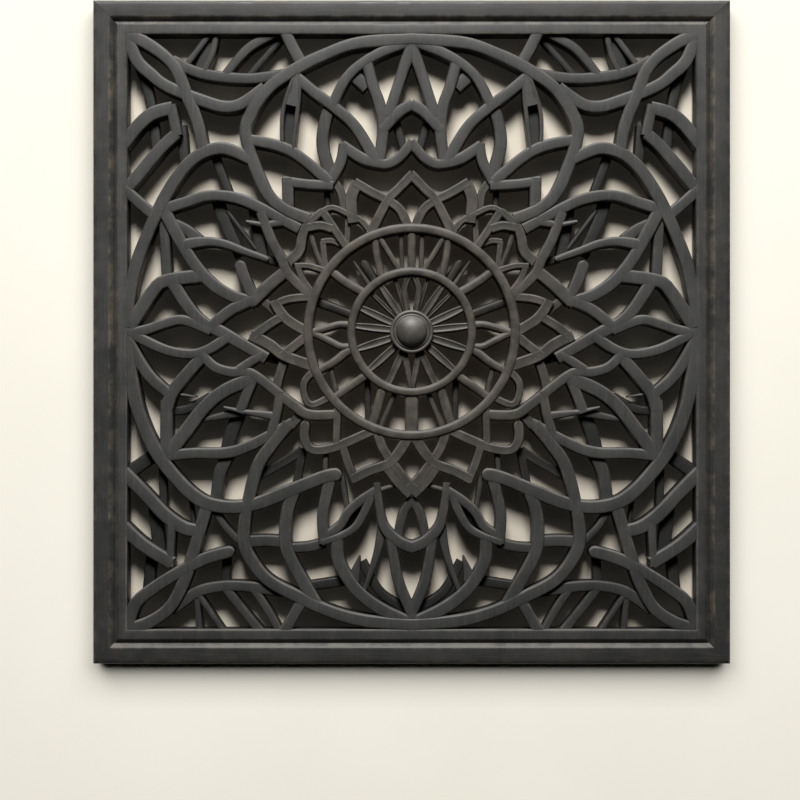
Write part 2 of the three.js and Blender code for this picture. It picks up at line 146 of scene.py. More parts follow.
LEFT_LOWER = [
    (FRONT, 10, (272, 3), (252, -8), (232, -17), (210, -21), (192, -17), (170, -3)),
    (FRONT, 11, (272, 2), (257, -27), (245, -44), (229, -58)),
    (FRONT, 12, (194, -20), (212, -40), (226, -58), (231, -74)),
    (FRONT, 12, (231, -64), (231, -118)),
    (FRONT, 10, (199, -20), (186, -33), (170, -38), (150, -40), (113, -68), (97, -78), (70, -78)),
    (FRONT, 13, (232, -119), (213, -94), (196, -72), (177, -56), (150, -44)),
    (FRONT, 11, (233, -117), (205, -114.5), (175, -114), (152, -107), (112, -86)),
    (FRONT, 10, (148, -42), (156, -60), (162, -76)),
    (FRONT, 9, (163, -36), (151, -28), (139, -21)),
    (BACK, 13, (162, -74), (170, -93), (176, -116)),
    (MID, (10, 5), (158, -75), (198, -83)),
    (FRONT, (2.5, 9), (177, -71), (160, -75), (146, -77), (126, -80)),
    (FRONT, 9, (124, -56), (127, -76), (133, -97)),
    (BACK, 9, (230, -74), (213, -73), (191, -61)),
    (BACK, 13, (272, -136), (238, -112)),
    (FRONT, 13, (272, -132), (252, -152), (232, -173), (214, -185), (197, -188)),
    (FRONT, 13, (272, -184), (253, -201), (226, -218)),
    (FRONT, 8, (226, -180), (228, -221)),
    (BACK, 13, (244, -158), (239, -208)),
    (BACK, 11, (246, -210), (250, -246)),
    (BACK, 8, (236, -124), (235, -170)),
    (MID, 12, (172, -114), (181, -133), (185, -163)),
    (MID, 7, (188, -164), (176, -184), (158, -202)),
]

LOWER_EDGE = [
    (MID, 11, (227, -263), (205, -247), (186, -241), (160, -240), (114, -246)),
    (MID, 6, (203, -252), (200, -284)),
    (MID, 6, (202, -247), (190, -265), (177, -284)),
    (MID, 9, (178, -239), (160, -262), (142, -284)),
    (MID, 8, (151, -240), (135, -264), (124, -284)),
    (FRONT, 11, (103, -253), (112, -269), (121, -284)),
    (BACK, 9, (175, -208), (176, -240)),
]

BOTTOM_PETAL = [
    (MID, 12, (156, -198), (138, -197), (120, -198)),
    (FRONT, 12, (110, -149), (117, -168), (119, -190), (115, -212), (90, -257)),
    (FRONT, 11, (76, -136), (80, -152), (84, -174), (82, -199)),
    (FRONT, 9, (84, -194), (68, -183), (60, -170), (48, -159), (31, -148)),
    (FRONT, 8, (85, -198), (68, -193), (54, -185), (46, -173), (38, -155)),
    (BACK, 12, (74, -190), (44, -163)),
    (MID, 10, (116, -204), (98, -203), (82, -199)),
    (FRONT, 12, (70, -192), (69, -215), (58, -236), (44, -251), (24, -264), (-4, -276)),
    (MID, (13, 2), (55, -234), (49, -212)),
    (BACK, 9, (47, -217), (30, -246), (6, -262)),
    (MID, (10, 4), (27, -180), (33, -210), (46, -248)),
    (FRONT, 10, (20, -190), (16, -218), (11, -240), (-2, -270)),
    (FRONT, (7, 12), (33, -142), (30, -168), (25, -185), (12, -198), (-1.5, -203.5)),
    (MID, 9, (-1, -158.5), (8, -171), (13, -193)),
    (BACK, 10, (102, -241), (60, -235)),
]

ROSETTE_PETALS = [
    (FRONT, 9, (-1.5, 149), (12, 135), (23, 123), (39, 92)),
    (FRONT, 9, (54, 141), (37, 131), (23, 124), (11, 115), (3, 98)),
    (FRONT, 11, (51, 141), (57, 125), (55, 103)),
    (FRONT, 6, (90, 109), (76, 117), (60, 111), (48, 105), (38, 93)),
    (FRONT, (7, 11), (84, 114), (98, 101), (103, 90), (106, 76), (116, 66)),
    (FRONT, 8, (83, 112), (73, 97), (61, 79)),
    (MID, 6, (60, 110), (61, 82)),
    (MID, 6, (84, 86), (81, 58)),
    (MID, 6, (85, 85), (75, 86), (60, 79)),
    (FRONT, 6, (110, 62), (97, 62), (80, 57)),
    (FRONT, 6, (108, 64), (103, 50), (91, 34)),
    (FRONT, 8, (131, 25), (115, 31), (92, 33)),
    (FRONT, 10, (130, 29), (118, 12), (95, -2)),
    (FRONT, 9, (150, -6), (137, 5), (119, 16)),
    (FRONT, 11, (152, -3), (134, -12), (119, -23), (91, -33)),
    (FRONT, 9, (123, -23), (110, -13), (95, -1)),
    (MID, 9, (119, -24), (124, -38), (128, -54)),
    (FRONT, 7, (91, -36), (101, -47), (101, -60), (94, -69), (74, -60)),
    (FRONT, 9, (100, -84), (101, -100), (94, -111), (76, -110), (56, -102), (32, -91)),
    (FRONT, 7, (70, -70), (71, -110)),
    (FRONT, 8, (65, -108), (60, -124), (53, -141)),
    (FRONT, 10, (56, -139), (40, -131), (19, -122), (2, -98)),
    (FRONT, 9, (32, -95), (26, -112), (8, -137)),
    (FRONT, 16, (25, -120), (12, -138), (-1, -151)),
    (BACK, 8, (103, -110), (110, -148)),
    (BACK, 9, (104, -112), (118, -121), (150, -139)),
    (MID, 9, (104, -77), (114, -88), (124, -99)),
    (MID, 8, (73, 142), (66, 130), (64, 112)),
    (FRONT, 9, (99, 98), (86, 100), (75, 97)),
]

ROSETTE_STAYS = [
    (FRONT, 8, (0, 54), (0, 98)),
    (FRONT, 7, (35, 94), (33, 74), (28, 50)),
    (FRONT, 5, (32, 92), (11, 57)),
    (BACK, 9, (47, 68), (34, 48)),
    (FRONT, 8.5, (77, 58), (62, 46.5), (44, 36)),
    (BACK, 9, (92, 30), (54, 16)),
    (FRONT, 7, (96, -1), (79, 4), (67, 7), (54, 6)),
    (FRONT, 7, (95, 0), (77, -9), (66, -14), (53, -13)),
    (FRONT, 8, (91, -38), (74, -29), (61, -19), (51, -16)),
    (FRONT, 8, (75, -64), (57, -51), (43, -41)),
    (FRONT, 9, (27, -52), (32, -70), (38, -90)),
    (FRONT, 13, (0, -54), (0, -98)),
]

THIN_STRAPS = [
    (MID, 5, (81, -113), (82, -136)),
    (MID, 5, (66, -136), (61, -166)),
    (MID, 5, (33, -150), (16, -145)),
    (MID, (5, 1.5), (226, -58), (204, -61)),
    (BACK, 5, (175, 115), (148, 79)),
    (MID, 4.5, (10, 95), (9, 58)),
    (MID, (1.5, 5), (55, 67), (39, 43)),
    (MID, 5, (77, -33), (70, -62)),
    (MID, 5, (15.5, -57), (30, -92)),
    (BACK, 6, (42, -45), (41, -88)),
    (BACK, 6, (81, 142), (79, 114)),
    (MID, 5, (97, 100), (91, 78), (82, 57)),
    (BACK, 4, (210, -154), (206, -184)),
]

ROSETTE_SPOKES = [
    (SPOKE_HEIGHT, 4.5, (3, 14), (4.2, 22.6), (6.8, 38), (5, 46), (1, 54)),
    (SPOKE_HEIGHT, 4.5, (6.5, -14), (5.8, -24.7), (3.5, -38), (0.8, -52)),
    (MID, 3.5, (4.1, 13.4), (16.4, 53.5)),
    (SPOKE_HEIGHT, 5.5, (7.8, 11.6), (31.3, 46.4)),
    (MID, 3.5, (10.1, 9.7), (40.3, 38.9)),
    (SPOKE_HEIGHT, 6, (12.7, 5.9), (50.8, 23.7)),
    (SPOKE_HEIGHT, 6, (13.9, 1.5), (55.7, 5.9)),
    (SPOKE_HEIGHT, 6, (13.4, -4.2), (53.4, -16.9)),
    (SPOKE_HEIGHT, 6, (10.4, -9.4), (41.6, -37.5)),
    (SPOKE_HEIGHT, 5.5, (5.7, -12.8), (22.8, -51.2)),
]

# Strap ends that stand free, and are rounded
FREE_ENDS = {(163, 67), (167, -206), (100, -84), (66, -134), (47, 68), (135, 68)}

# Sections across a strap, from its edge to its middle: inset, drop below the level, wear
PLAIN = [(0, 2.3, 0.1), (0.22, 1.25, 0.55), (0.75, 0.5, 1.0), (1.5, 0.12, 0.6), (2.4, 0, 0.1)]
GROOVED = [(0, 1.9, 0.1), (0.2, 0.95, 0.6), (0.7, 0.25, 1.0), (1.3, 0, 0.8), (2.1, 0.1, 0.1)]
ROUNDED = [(0, 2.6, 0.1), (0.3, 1.6, 0.4), (1.1, 0.7, 0.9), (2.1, 0.2, 0.7), (3.2, 0.02, 0.4)]
LEAF = [(0, 2.2, 0.1), (0.2, 1.1, 0.4), (0.6, 0.35, 0.9), (1.15, 0, 0.8), (1.9, 0.7, 0.1)]
SECTIONS = {"plain": PLAIN, "grooved": GROOVED, "rounded": ROUNDED, "leaf": LEAF}
MIDDLE_DROP = {"plain": -0.12, "grooved": 0.2, "rounded": -0.05, "leaf": 0.95}

# Straps: distance between sections, places of the extra sections near a free end (in half widths),
# the least half width there, and how uneven the width (a fraction) and the level are
STRAP_STEP = 4.5
END_PLACES = np.array([0.04, 0.16, 0.36, 0.64])
END_HALF = 0.35
UNEVEN_WIDTH = 0.025
UNEVEN_LEVEL = 0.08

# Distances beyond which two shells are taken to be clear of each other: between boxes, between lines
BOX_CLEAR = 2
LINE_CLEAR = 4

# A carried normal is kept if the cosine of its angle to its face's own normal is at least this
NORMAL_KEPT = 0.6

# Frame members: sections along each, and how uneven its front is
RAIL_SECTIONS = 61
UNEVEN_RAIL = 0.07

# The border's middle line, out from the opening, and its reach to either side of that
BORDER_MIDDLE = 6
BORDER_HALF = 7.5

COLLAR_HEIGHT = 3.6
DOME_STEPS = 15


def catmull(points, t):
    """A point on the uniform spline through points, t from 0 to 1."""
    last = len(points) - 1
    at = t * last
    i = min(int(at), last - 1)
    w = at - i
    p1, p2 = points[i], points[i + 1]
    p0 = points[max(i - 1, 0)]
    p3 = points[min(i + 2, last)]
    v0, v1 = (p2 - p0) / 2, (p3 - p1) / 2
    return (2 * p1 - 2 * p2 + v0 + v1) * w**3 + (-3 * p1 + 3 * p2 - 2 * v0 - v1) * w**2 + v0 * w + p1


def line_points(points, step):
    """Points at even distances along a spline, with the distance of each from the start."""
    points = [np.array(p, float) for p in points]
    fine = np.array([catmull(points, t) for t in np.linspace(0, 1, 60 * (len(points) - 1) + 1)])
    run = np.concatenate([[0], np.cumsum(np.linalg.norm(np.diff(fine, axis=0), axis=1))])
    count = max(2, math.ceil(run[-1] / step) + 1)
    along = np.linspace(0, run[-1], count)
    return np.stack([np.interp(along, run, fine[:, k]) for k in (0, 1)], axis=1), along


class Shell:
    """One closed body: flat-drawn points (x, y, height), faces, and the wear of each point."""

    def __init__(self, points, faces, wear, reach):
        self.points = np.asarray(points, float)
        self.faces = faces
        self.wear = np.asarray(wear, float)
        self.reach = reach


def loft(rings, closed=False):
    """Faces that join equal rings of points, each ring running over the top from left to right."""
    count, size = len(rings), len(rings[0])
    faces = []
    for i in range(count if closed else count - 1):
        a, b = i * size, (i + 1) % count * size
        for k in range(size):
            n = (k + 1) % size
            faces.append((a + k, a + n, b + n, b + k))
    if not closed:
        faces.append(tuple(range(size - 1, -1, -1)))
        faces.append(tuple((count - 1) * size + k for k in range(size)))
    return faces


def section(half, level, kind):
    """Across offsets, heights and wear of a strap's section, from its left foot to its right foot."""
    rows = SECTIONS[kind]
    fit = min(1, 0.9 * half / rows[-1][0])
    left = [(half, BOARD_BACK, 0)]
    left += [(half - inset * fit, level - drop * fit, wear) for inset, drop, wear in rows]
    middle = [(0, level - MIDDLE_DROP[kind] * fit, 0)]
    right = [(-across, height, wear) for across, height, wear in reversed(left)]
    return left + middle + right


def around(sides):
    """Points on a circle of radius 1."""
    turns = [2 * math.pi * i / sides for i in range(sides)]
    return [(math.cos(turn), math.sin(turn)) for turn in turns]


def strap_shell(side, row, kind, lift):
    """One strap of a table, on the left (-1) or the right (1), at its level and the lift given."""
    level, width, *points = row
    free_start, free_end = points[0] in FREE_ENDS, points[-1] in FREE_ENDS
    w0, w1 = width if isinstance(width, tuple) else (width, width)
    line, along = line_points([(side * out, up) for out, up in points], STRAP_STEP)
    total = along[-1]
    if free_start or free_end:
        extra = (w0 if free_start else w1) / 2 * END_PLACES
        near = extra if free_start else total - extra
        closer = np.unique(np.concatenate([along, near]))
        line = np.stack([np.interp(closer, along, line[:, k]) for k in (0, 1)], axis=1)
        along = closer
    tangent = np.gradient(line, along, axis=0)
    tangent /= np.linalg.norm(tangent, axis=1)[:, None]
    rings, wear = [], []
    for point, t, s in zip(line, tangent, along):
        half = (w0 + (w1 - w0) * s / total) / 2
        half *= 1 + UNEVEN_WIDTH * math.sin(s / 11 + 1.7 * points[0][1])
        if kind == "leaf":
            half *= 0.8 + 0.55 * math.sin(math.pi * (0.12 + 0.8 * s / total))
        for end, free in ((s, free_start), (total - s, free_end)):
            if free and end < half:
                half = max(END_HALF, math.sqrt(half**2 - (half - end) ** 2))
        across = np.array([-t[1], t[0]])
        top = level + lift + UNEVEN_LEVEL * math.sin(s / 17 + points[-1][0])
        ring = section(half, top, kind)
        rings.append([(*(point + across * offset), height) for offset, height, _ in ring])
        wear += [w for _, _, w in ring]
    return Shell(np.reshape(rings, (-1, 3)), loft(rings), wear, (line, max(w0, w1) / 2))


def ring_shell(radius, width, level, kind, sides=120):
    ring = section(width / 2, level, kind)
    rings = [[(x * (radius - offset), y * (radius - offset), height) for offset, height, _ in ring]
             for x, y in around(sides)]
    wear = [w for _, _, w in ring] * sides
    line = radius * np.array(around(sides))
    return Shell(np.reshape(rings, (-1, 3)), loft(rings, closed=True), wear, (line, width / 2))


def disc_shell(radius, level, sides=48):
    outline = [(radius * x, radius * y) for x, y in around(sides)]
    points = [(x, y, BOARD_BACK) for x, y in outline] + [(x, y, level) for x, y in outline]
    faces = [(i, (i + 1) % sides, sides + (i + 1) % sides, sides + i) for i in range(sides)]
    faces += [tuple(range(sides - 1, -1, -1)), tuple(range(sides, 2 * sides))]
    return Shell(points, faces, [0] * len(points), (np.array([(0.0, 0.0)]), radius))


def border_shell():
    """The board's flat border: rounded towards the opening, chamfered towards the frame."""
    level = FRONT + 0.1
    outer = (PANEL_WIDTH / 2 - RAIL_WIDTH - JOINT_GAP) - OPENING_WIDTH / 2
    c = BORDER_CHAMFER
    ring = [(0, BOARD_BACK, 0), (0, level - 2.3, 0.1), (0.25, level - 1.2, 0.5), (0.8, level - 0.5, 1.0),
            (1.7, level - 0.1, 0.6), (2.8, level, 0.1), (outer - c - 0.8, level, 0.2),
            (outer - c + 0.1, level - 0.25, 1.0), (outer - c + 0.6, level - 0.75, 0.9),
            (outer, level - c, 0.7), (outer, BOARD_BACK, 0)]
    half_x, half_y = OPENING_WIDTH / 2, OPENING_HEIGHT / 2
    corners = [(1, 1), (1, -1), (-1, -1), (-1, 1)]
    rings = [[(sx * (half_x + out), sy * (half_y + out), height) for out, height, _ in ring]
             for sx, sy in corners]
    wear = [w for _, _, w in ring] * len(corners)
    x, y = np.linspace(-1, 1, 80) * half_x, np.linspace(-1, 1, 80) * half_y
    out_x, out_y = np.full(80, half_x + BORDER_MIDDLE), np.full(80, half_y + BORDER_MIDDLE)
    sides = [(x, out_y), (x, -out_y), (out_x, y), (-out_x, y)]
    line = np.concatenate([np.stack(side, axis=1) for side in sides])
    return Shell(np.reshape(rings, (-1, 3)), loft(rings, closed=True), wear, (line, BORDER_HALF))


def stand(points):
    """Flat-drawn millimetres to the part's frame in metres."""
    x, up, height = points[:, 0], points[:, 1], points[:, 2]
    return np.stack([x, -height, up - HANGING_LINE], axis=1) / 1000


def mesh_of(name, shells, smooth_angle=40):
    """One mesh of several shells, with its smooth normals and wear kept as corner values."""
    points, faces, wear = [], [], []
    for shell in shells:
        start = sum(len(p) for p in points)
        points.append(shell.points)
        faces += [tuple(start + i for i in face) for face in shell.faces]
        wear.append(shell.wear)
    mesh = bpy.data.meshes.new(name)
    mesh.from_pydata(stand(np.concatenate(points)).tolist(), [], faces)
    mesh.polygons.foreach_set("use_smooth", [True] * len(mesh.polygons))
    mesh.set_sharp_from_angle(angle=math.radians(smooth_angle))
    corners = np.zeros(len(mesh.loops), np.int32)
    mesh.loops.foreach_get("vertex_index", corners)
    worn = mesh.attributes.new("edge_wear", "FLOAT", "CORNER")
    worn.data.foreach_set("value", np.concatenate(wear)[corners].astype(np.float32))
    return mesh


def keep_normals(mesh):
    """Stores the smooth normals as a corner attribute, which a join carries along."""
    normals = np.zeros(len(mesh.loops) * 3, np.float32)
    mesh.corner_normals.foreach_get("vector", normals)
    mesh.attributes.new("carved_normal", "FLOAT_VECTOR", "CORNER").data.foreach_set("vector", normals)


def restore_normals(mesh):
    """Puts the carried normals back after a join, with the face's own normal where one went astray."""
    normals = np.zeros(len(mesh.loops) * 3, np.float32)
    mesh.attributes["carved_normal"].data.foreach_get("vector", normals)
    normals = normals.reshape(-1, 3)
    normals /= np.maximum(np.linalg.norm(normals, axis=1), 1e-6)[:, None]
    flat = np.zeros(len(mesh.polygons) * 3, np.float32)
    mesh.polygons.foreach_get("normal", flat)
    sizes = np.zeros(len(mesh.polygons), np.int32)
    mesh.polygons.foreach_get("loop_total", sizes)
    flat = np.repeat(flat.reshape(-1, 3), sizes, axis=0)
    astray = (normals * flat).sum(1) < NORMAL_KEPT
    normals[astray] = flat[astray]
    mesh.attributes.remove(mesh.attributes["carved_normal"])
    wear = np.zeros(len(mesh.loops), np.float32)
    mesh.attributes["edge_wear"].data.foreach_get("value", wear)
    mesh.attributes["edge_wear"].data.foreach_set("value", np.clip(wear, 0, 1))
    mesh.normals_split_custom_set(normals.tolist())


def add_object(name, mesh):
    piece = bpy.data.objects.new(name, mesh)
    bpy.context.scene.collection.objects.link(piece)
    return piece


def apart(a, b):
    """True if two shells are clear of each other, seen from the front."""
    (line_a, half_a), (line_b, half_b) = a.reach, b.reach
    halves = half_a + half_b
    if (line_a.min(0) - line_b.max(0)).max() > halves + BOX_CLEAR:
        return True
    if (line_b.min(0) - line_a.max(0)).max() > halves + BOX_CLEAR:
        return True
    gaps = np.linalg.norm(line_a[:, None] - line_b[None], axis=2)
    return gaps.min() > halves + LINE_CLEAR


def joined(name, shells):
    """All shells as one carved body: sets of shells that are clear of each other are joined in turn."""
    sets = []
    for shell in shells:
        for each in sets:
            if all(apart(shell, other) for other in each):
                each.append(shell)
                break
        else:
            sets.append([shell])
    parts = []
    for i, each in enumerate(sets):
        mesh = mesh_of(f"{name}_set_{i}", each)
        keep_normals(mesh)
        parts.append(add_object(f"{name}_set_{i}", mesh))
    body = parts[0]
    for other in parts[1:]:
        cut = body.modifiers.new("join", "BOOLEAN")
        cut.operation = "UNION"
        cut.solver = "MANIFOLD"
        cut.object = other
    bpy.context.view_layer.update()
    evaluated = body.evaluated_get(bpy.context.evaluated_depsgraph_get())
    mesh = bpy.data.meshes.new_from_object(evaluated)
    mesh.name = name
    for part in parts:
        old = part.data
        bpy.data.objects.remove(part)
        bpy.data.meshes.remove(old)
    mesh.materials.clear()
    restore_normals(mesh)
    return add_object(name, mesh)


def panel_shells():
    """The border, the hub, the rings and every strap. Small lifts keep crossing straps off one level."""
    families = [
        (STAR_LOBES, "plain", 0.0), (CORNER_LEAVES, "plain", -0.35), (TOP_PETAL, "plain", -0.5),
        (UPPER_EDGE, "plain", -0.6), (LEFT_UPPER, "plain", -0.45), (LEFT_LOWER, "plain", -0.45),
        (LOWER_EDGE, "plain", -0.6), (BOTTOM_PETAL, "plain", -0.5), (ROSETTE_PETALS, "grooved", -0.2),
        (ROSETTE_STAYS, "rounded", -0.7), (THIN_STRAPS, "plain", -0.3), (ROSETTE_SPOKES, "leaf", 0),
    ]
    shells = [
        border_shell(), disc_shell(HUB_RADIUS, FRONT),
        ring_shell(OUTER_RING, OUTER_RING_WIDTH, RING_HEIGHT, "rounded"),
        ring_shell(INNER_RING, INNER_RING_WIDTH, RING_HEIGHT, "rounded", 80),
    ]
    for rows, kind, lift in families:
        for i, row in enumerate(rows):
            for side in (-1, 1):
                shells.append(strap_shell(side, row, kind, lift - 0.09 * (i % 4) - 0.02 * (side > 0)))
    return shells


def rail_shell(length, span, turn):
    """A mitred frame member: rounded outside, chamfered towards the groove, faintly uneven."""
    w, h, c = RAIL_WIDTH, RAIL_HEIGHT, RAIL_CHAMFER
    ring = [(0, 0, 0), (0, h - 3.2, 0.2), (0.35, h - 1.9, 0.7), (1.1, h - 0.9, 0.9),
            (2.4, h - 0.25, 0.5), (4.6, h, 0.1), (w - c - 1.2, h, 0.1), (w - c - 0.3, h - 0.1, 1.0),
            (w - c + 0.4, h - 0.5, 1.0), (w - 0.1, h - c, 0.5), (w, h - c - 0.3, 0.3), (w, 0, 0)]
    rings = []
    for i, s in enumerate(np.linspace(-1, 1, RAIL_SECTIONS)):
        wave = UNEVEN_RAIL * math.sin(i * 1.3 + turn) * math.sin(i * 0.37 + 2 * turn)
        row = []
        for k, (inward, height, _) in enumerate(ring):
            dip = abs(wave) if 1 < k < 10 else 0
            along = s * (length / 2 - inward - JOINT_GAP / 2)
            row.append((along, span / 2 - inward, height - dip))
        rings.append(row)
    wear = [worn for _, _, worn in ring] * RAIL_SECTIONS
    points = np.reshape(rings, (-1, 3))
    a = turn * math.pi / 2
    x, y = points[:, 0].copy(), points[:, 1].copy()
    points[:, 0] = x * math.cos(a) - y * math.sin(a)
    points[:, 1] = x * math.sin(a) + y * math.cos(a)
    return Shell(points, loft(rings), wear, None)


def boss_shell(sides=72):
    """The turned boss: a collar with a bead inside it, and a dome."""
    base = FRONT + JOINT_GAP
    c, s = BOSS_COLLAR, base + COLLAR_HEIGHT
    outline = [(c - 0.2, base, 0), (c, base + 1.2, 0.2), (c - 0.3, s - 0.9, 0.7), (c - 1.1, s - 0.2, 1.0),
               (c - 2.0, s, 0.5), (c - 2.9, s - 0.3, 0.2), (c - 3.4, s - 1.1, 0), (c - 3.7, s - 0.7, 0.2),
               (c - 4.2, s + 0.3, 0.6), (c - 4.9, s + 0.5, 0.4), (c - 5.5, s + 0.1, 0.1)]
    for i in range(1, DOME_STEPS):
        turn = i / DOME_STEPS * math.pi / 2
        outline.append((BOSS_DOME * math.cos(turn), s + (BOSS_TOP - s) * math.sin(turn), 0.2))
    rings = [[(r * x, r * y, height) for r, height, _ in outline] for x, y in around(sides)]
    wear = [w for _, _, w in outline] * sides
    size = len(outline)
    faces = []
    for i in range(sides):
        a, b = i * size, (i + 1) % sides * size
        for k in range(size - 1):
            faces.append((a + k, b + k, b + k + 1, a + k + 1))
    points = np.concatenate([np.reshape(rings, (-1, 3)), [(0, 0, base), (0, 0, BOSS_TOP)]])
    foot, tip = sides * size, sides * size + 1
    for i in range(sides):
        a, b = i * size, (i + 1) % sides * size
        faces.append((foot, b, a))
        faces.append((a + size - 1, b + size - 1, tip))
    return Shell(points, faces, wear + [0, 0.2], None)


# Colours of the paint and of what shows on it or through it, each as a dark and a light tone or as one
CHARCOAL = (0.036, 0.036, 0.0362), (0.050, 0.050, 0.0495)
STREAKS = (0.072, 0.071, 0.069)
ROSETTE_BROWN = (0.048, 0.043, 0.036), (0.085, 0.075, 0.060)
BARE_WOOD = (0.10, 0.082, 0.058), (0.17, 0.142, 0.102)
BLACK = (0.0, 0.0, 0.0)
# Painted shade: the near-black that the carved paint goes to deep behind the front
DEPTH_SHADE_BLACK = (0.002, 0.0019, 0.0018)
# Painted highlight with dust: the pale grey laid on what faces up
HIGHLIGHT_AND_DUST_GREY = (0.20, 0.196, 0.186)

# How much of what faces up is lightened: dust, and a painted highlight where light falls from above
HIGHLIGHT_AND_DUST_SHARE = 0.6
# The rosette is browner: all of it up to the first radius, none of it from the second
ROSETTE_FADE = (0.10, 0.19)


class Nodes:
    """Adds linked nodes to a material."""

    def __init__(self, material):
        material.use_nodes = True
        self.tree = material.node_tree
        self.shader = self.tree.nodes["Principled BSDF"]

    def add(self, kind, inputs=None, **settings):
        node = self.tree.nodes.new(kind)
        for key, value in settings.items():
            setattr(node, key, value)
        for key, value in (inputs or {}).items():
            if isinstance(value, bpy.types.NodeSocket):
                self.tree.links.new(value, node.inputs[key])
            else:
                node.inputs[key].default_value = value
        return node

    def noise(self, coords, scale, detail=4, roughness=0.6, stretch=(1, 1, 1)):
        placed = self.add("ShaderNodeMapping", {"Vector": coords, "Scale": stretch})
        inputs = {"Vector": placed.outputs[0], "Scale": scale, "Detail": detail, "Roughness": roughness}
        return self.add("ShaderNodeTexNoise", inputs).outputs["Fac"]

    def ramp(self, value, low, high, to_low=0.0, to_high=1.0):
        inputs = {"Value": value, "From Min": low, "From Max": high, "To Min": to_low, "To Max": to_high}
        return self.add("ShaderNodeMapRange", inputs, interpolation_type="SMOOTHSTEP").outputs[0]

    def math(self, operation, a, b=0.0):
        return self.add("ShaderNodeMath", {0: a, 1: b}, operation=operation).outputs[0]

    def mix(self, factor, a, b, blend="MIX"):
        node = self.add("ShaderNodeMix", {"Factor": factor}, data_type="RGBA", blend_type=blend)
        for socket, value in ((node.inputs[6], a), (node.inputs[7], b)):
            if isinstance(value, bpy.types.NodeSocket):
                self.tree.links.new(value, socket)
            else:
                socket.default_value = (*value, 1)
        return node.outputs[2]


def painted_wood(name, grain, worn=1.0, warm=0.0, depth_shade=False, shade=1.0, shine=0.25):
    """Charcoal paint over wood, rubbed through on the edges. The grain runs along the given axis.

    worn is how much of the wear shows, warm how brown the rosette is, shade what is left of the paint's
    colour, and shine its specular level. With depth_shade, the paint is darkened with depth behind the
    front, all but what faces back: painted shade in the recesses.
    """
    material = bpy.data.materials.new(name)
    n = Nodes(material)
    coords = n.add("ShaderNodeTexCoord").outputs["Object"]
    place = n.add("ShaderNodeSeparateXYZ", {"Vector": coords})
    edge = n.add("ShaderNodeAttribute", attribute_name="edge_wear").outputs["Fac"]
    along = tuple(0.05 if axis == grain else 1 for axis in "xyz")
    streaks = n.noise(coords, 620, 5, 0.65, along)
    fine = n.noise(coords, 900, 3, 0.6)
    clouds = n.noise(coords, 22, 4, 0.6)
    patches = n.noise(coords, 70, 5, 0.65)

    charcoal = n.mix(n.ramp(clouds, 0.35, 0.65), *CHARCOAL)
    charcoal = n.mix(n.ramp(streaks, 0.45, 0.75, 0, 0.55), charcoal, STREAKS)
    if warm:
        up = n.math("ADD", place.outputs["Z"], HANGING_LINE / 1000)
        square = n.math("ADD", n.math("POWER", place.outputs["X"], 2.0), n.math("POWER", up, 2.0))
        rosette = n.ramp(n.math("POWER", square, 0.5), *ROSETTE_FADE, warm, 0)
        brown = n.mix(n.ramp(patches, 0.35, 0.7), *ROSETTE_BROWN)
        charcoal = n.mix(rosette, charcoal, brown)
    charcoal = n.mix(1 - shade, charcoal, BLACK)
    rubbed = n.math("MULTIPLY", edge, n.ramp(patches, 0.38, 0.72))
    rubbed = n.math("MULTIPLY", rubbed, n.ramp(fine, 0.25, 0.6, 0.5, 1))
    rubbed = n.math("MULTIPLY", rubbed, worn)
    bare = n.mix(streaks, *BARE_WOOD)
    colour = n.mix(n.math("MINIMUM", rubbed, 1.0), charcoal, bare)
    normal = n.add("ShaderNodeNewGeometry").outputs["Normal"]
    facing = n.add("ShaderNodeSeparateXYZ", {"Vector": normal}).outputs
    faces_up, faces_back = facing["Z"], facing["Y"]
    # Painted highlight with dust: what faces up is lightened, in patches
    dust_and_highlight = n.math("MULTIPLY", n.ramp(faces_up, 0.12, 0.8, 0, HIGHLIGHT_AND_DUST_SHARE), n.ramp(patches, 0.3, 0.65, 0.55, 1))
    # Painted shade: the paint is darkened with depth behind the front, where shade falls in the recesses;
    # what faces back is left as it is
    if depth_shade:
        depth = n.math("MULTIPLY", place.outputs["Y"], -1000.0)
        # The painted highlight is kept to what stands near the front, where the light reaches
        dust_and_highlight = n.math("MULTIPLY", dust_and_highlight, n.ramp(depth, MID - 3, FRONT - 0.6, 0, 1))
        unshaded_share = n.ramp(depth, BACK - 5, FRONT - 1, 0.10, 1)
        unshaded_share = n.math("MAXIMUM", unshaded_share, n.ramp(faces_back, 0.4, 0.8))
        colour = n.mix(unshaded_share, DEPTH_SHADE_BLACK, colour)
    colour = n.mix(dust_and_highlight, colour, HIGHLIGHT_AND_DUST_GREY)
    rough = n.math("ADD", n.ramp(patches, 0.3, 0.7, 0.42, 0.56), n.math("MULTIPLY", rubbed, 0.12))
    height = n.math("ADD", n.math("MULTIPLY", streaks, 0.6), n.math("MULTIPLY", fine, 0.5))
    bump = n.add("ShaderNodeBump", {"Height": height, "Strength": 0.35, "Distance": 0.0004})
    n.tree.links.new(colour, n.shader.inputs["Base Color"])
    n.tree.links.new(rough, n.shader.inputs["Roughness"])
    n.tree.links.new(bump.outputs[0], n.shader.inputs["Normal"])
    n.shader.inputs["Specular IOR Level"].default_value = shine
    return material


